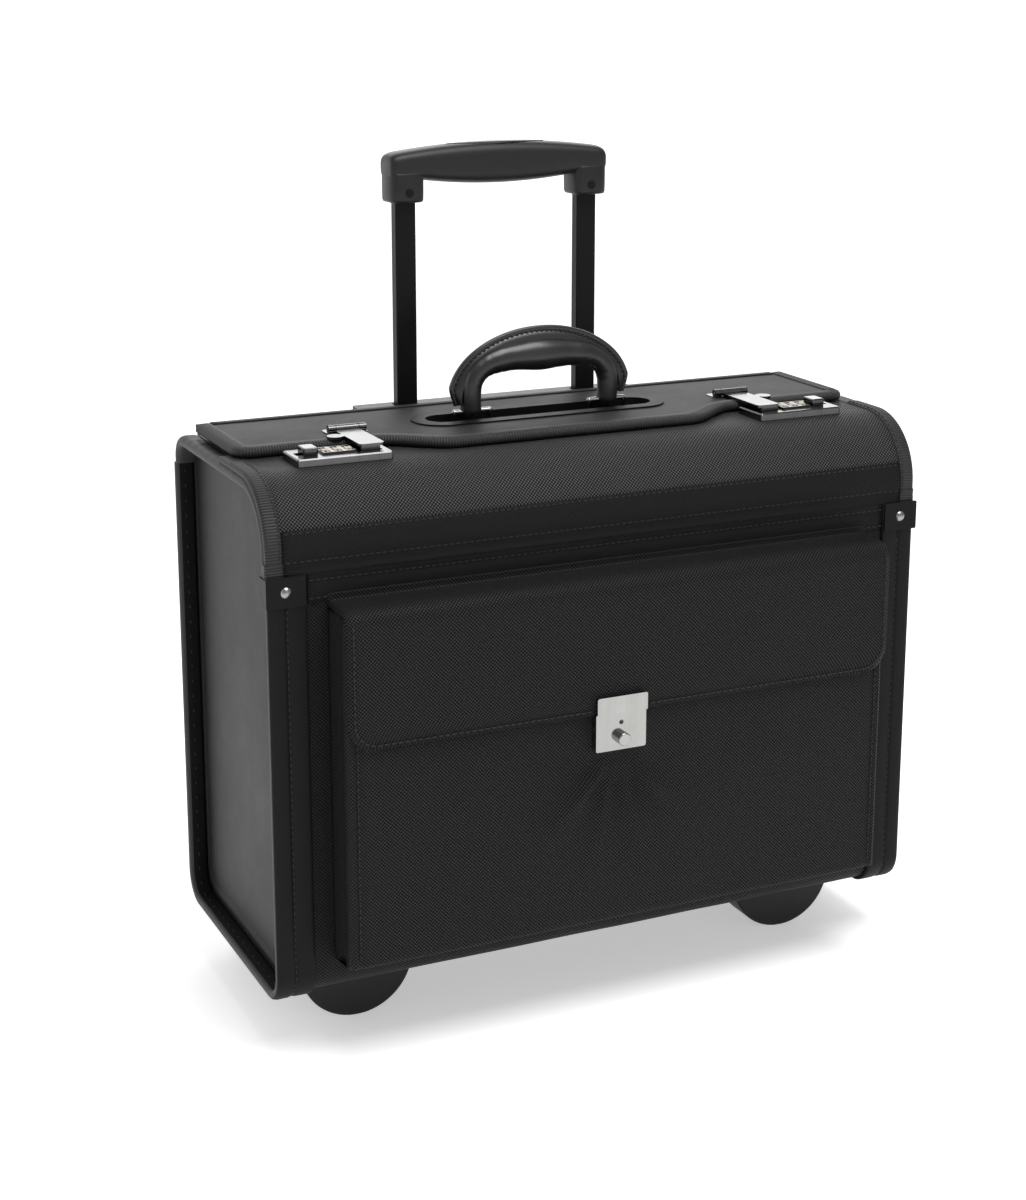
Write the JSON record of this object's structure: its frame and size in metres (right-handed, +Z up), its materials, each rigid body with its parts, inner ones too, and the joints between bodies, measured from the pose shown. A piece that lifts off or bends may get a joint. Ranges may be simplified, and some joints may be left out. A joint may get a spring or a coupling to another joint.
{
  "type": "pilot rolling flight case",
  "caption": "Upright rolling flight case with a front pocket, top flap with combination locks, padded carry handle and telescopic pull handle.",
  "frame": {"origin": "on the ground below the middle of the whole case", "axes": "+Z up, +X to the right seen from the front, the front pocket faces -Y"},
  "size_m": [0.4826, 0.2408, 0.5764],
  "materials": {
    "woven_fabric": "woven polyester, matt",
    "side_leatherette": "smooth coated leatherette",
    "flap_fabric": "smooth coated fabric",
    "binding_tape": "ribbed woven binding tape",
    "edge_leatherette": "padded leatherette edge",
    "lining": "brushed lining on board",
    "handle_leather": "smooth semi-gloss leather",
    "black_metal": "semi-gloss black paint",
    "bright_steel": "bright nickel plate",
    "steel": "brushed",
    "black_plastic": "fine moulded texture",
    "button_plastic": "smooth",
    "dial_plastic": "ivory",
    "black_tube": "black anodised",
    "wheel_plastic": "moulded",
    "wheel_tyre": "soft polyurethane"
  },
  "bodies": {
    "case": {"front_panel": "woven_fabric", "bottom_panel": "woven_fabric", "rear_panel": "woven_fabric", "side_panels": "side_leatherette", "rim_bindings": "binding_tape", "top_edges": "edge_leatherette", "front_hinge_band": "woven_fabric", "flap_hinge_strip": "flap_fabric", "corner_clips": "black_metal", "clip_rivets": "black_metal", "rear_top_rail": "flap_fabric", "document_divider": "lining", "trolley_lining_panel": "lining", "pocket_body": "woven_fabric", "tuck_lock_body": "bright_steel", "trolley_outer_tubes": "black_tube", "trolley_bezel": "black_plastic", "trolley_foot_bracket": "black_plastic", "wheel_axles": "black_metal", "wheel_housings": "black_plastic", "feet": "black_plastic"},
    "cover": {"front_cover": "woven_fabric", "cover_bindings": "binding_tape", "lock_body_left": "bright_steel", "lock_body_right": "bright_steel", "dial_shafts": "steel"},
    "flap": {"top_flap": "flap_fabric", "flap_binding": "binding_tape", "handle_recess_tray": "black_plastic", "handle_rings": "bright_steel", "hasp_bases": "bright_steel", "hasp_pins": "steel"},
    "handle": {"carry_handle": "handle_leather", "carry_handle_strip": "handle_leather"},
    "hasp_left": {"hasp_left": "bright_steel"},
    "hasp_right": {"hasp_right": "bright_steel"},
    "lock_button_left": {"lock_button_left": "black_plastic"},
    "lock_button_right": {"lock_button_right": "black_plastic"},
    "pocket_flap": {"pocket_flap": "woven_fabric", "tuck_lock_plate": "bright_steel"},
    "tuck_button": {"tuck_lock_button": "bright_steel"},
    "wheel_left": {"wheel_tyre_left": "wheel_tyre", "wheel_hub_left": "wheel_plastic"},
    "wheel_right": {"wheel_tyre_right": "wheel_tyre", "wheel_hub_right": "wheel_plastic"},
    "pull_handle_lower": {"trolley_middle_tubes": "black_tube"},
    "pull_handle_upper": {"trolley_upper_tubes": "black_tube", "grip_upper": "black_plastic", "grip_lower": "black_plastic", "grip_screws": "steel", "release_spring": "steel"},
    "release": {"release_button": "button_plastic", "release_slider": "steel"},
    "dial_left_1": {"dial_left_1": "dial_plastic"},
    "dial_left_2": {"dial_left_2": "dial_plastic"},
    "dial_left_3": {"dial_left_3": "dial_plastic"},
    "dial_right_1": {"dial_right_1": "dial_plastic"},
    "dial_right_2": {"dial_right_2": "dial_plastic"},
    "dial_right_3": {"dial_right_3": "dial_plastic"}
  },
  "joints": [
    {"name": "flap_hinge", "type": "hinge", "parent": "case", "child": "flap", "pos_m": [0, 0.0956, 0.3855], "axis": [-1, 0, 0], "range_deg": [0, 60]},
    {"name": "cover_hinge", "type": "hinge", "parent": "case", "child": "cover", "pos_m": [0, -0.0779, 0.3332], "axis": [1, 0, 0], "range_deg": [0, 43]},
    {"name": "carry_handle_swing", "type": "hinge", "parent": "flap", "child": "handle", "pos_m": [0, 0.0321, 0.398], "axis": [1, 0, 0], "range_deg": [-35, 50]},
    {"name": "hasp_left_hinge", "type": "hinge", "parent": "flap", "child": "hasp_left", "pos_m": [-0.148, 0.0221, 0.3966], "axis": [-1, 0, 0], "range_deg": [0, 100]},
    {"name": "hasp_right_hinge", "type": "hinge", "parent": "flap", "child": "hasp_right", "pos_m": [0.148, 0.0221, 0.3966], "axis": [-1, 0, 0], "range_deg": [0, 100]},
    {"name": "lock_button_left_slide", "type": "slide", "parent": "cover", "child": "lock_button_left", "axis": [-1, 0, 0], "range_m": [0, 0.004], "stiffness_N_per_m": 150, "springref_m": -0.002},
    {"name": "lock_button_right_slide", "type": "slide", "parent": "cover", "child": "lock_button_right", "axis": [1, 0, 0], "range_m": [0, 0.004], "stiffness_N_per_m": 150, "springref_m": -0.002},
    {"name": "dial_left_1_spin", "type": "hinge", "parent": "cover", "child": "dial_left_1", "pos_m": [-0.164, -0.0219, 0.3876], "axis": [1, 0, 0], "continuous": true},
    {"name": "dial_left_2_spin", "type": "hinge", "parent": "cover", "child": "dial_left_2", "pos_m": [-0.172, -0.0219, 0.3876], "axis": [1, 0, 0], "continuous": true},
    {"name": "dial_left_3_spin", "type": "hinge", "parent": "cover", "child": "dial_left_3", "pos_m": [-0.18, -0.0219, 0.3876], "axis": [1, 0, 0], "continuous": true},
    {"name": "dial_right_1_spin", "type": "hinge", "parent": "cover", "child": "dial_right_1", "pos_m": [0.164, -0.0219, 0.3876], "axis": [1, 0, 0], "continuous": true},
    {"name": "dial_right_2_spin", "type": "hinge", "parent": "cover", "child": "dial_right_2", "pos_m": [0.172, -0.0219, 0.3876], "axis": [1, 0, 0], "continuous": true},
    {"name": "dial_right_3_spin", "type": "hinge", "parent": "cover", "child": "dial_right_3", "pos_m": [0.18, -0.0219, 0.3876], "axis": [1, 0, 0], "continuous": true},
    {"name": "pocket_flap_hinge", "type": "hinge", "parent": "case", "child": "pocket_flap", "pos_m": [0, -0.0813, 0.3104], "axis": [1, 0, 0], "range_deg": [-88, 0]},
    {"name": "tuck_button_press", "type": "slide", "parent": "case", "child": "tuck_button", "axis": [0, 1, 0], "range_m": [0, 0.002], "stiffness_N_per_m": 400, "springref_m": -0.001},
    {"name": "wheel_left_spin", "type": "hinge", "parent": "case", "child": "wheel_left", "pos_m": [-0.195, 0.0841, 0.032], "axis": [1, 0, 0], "continuous": true},
    {"name": "wheel_right_spin", "type": "hinge", "parent": "case", "child": "wheel_right", "pos_m": [0.195, 0.0841, 0.032], "axis": [1, 0, 0], "continuous": true},
    {"name": "pull_handle_lower_slide", "type": "slide", "parent": "case", "child": "pull_handle_lower", "axis": [0, 0, 1], "range_m": [0, 0.24]},
    {"name": "pull_handle_upper_slide", "type": "slide", "parent": "pull_handle_lower", "child": "pull_handle_upper", "axis": [0, 0, 1], "range_m": [-0.144, 0.115]},
    {"name": "release_button_press", "type": "slide", "parent": "pull_handle_upper", "child": "release", "axis": [0, 0, -1], "range_m": [0, 0.004], "stiffness_N_per_m": 1200, "springref_m": -0.0015, "deforming": ["release_spring"]}
  ],
  "couplings": [
    {"joint": "cover_hinge", "follows": "flap_hinge", "ratio": 0.7}
  ]
}
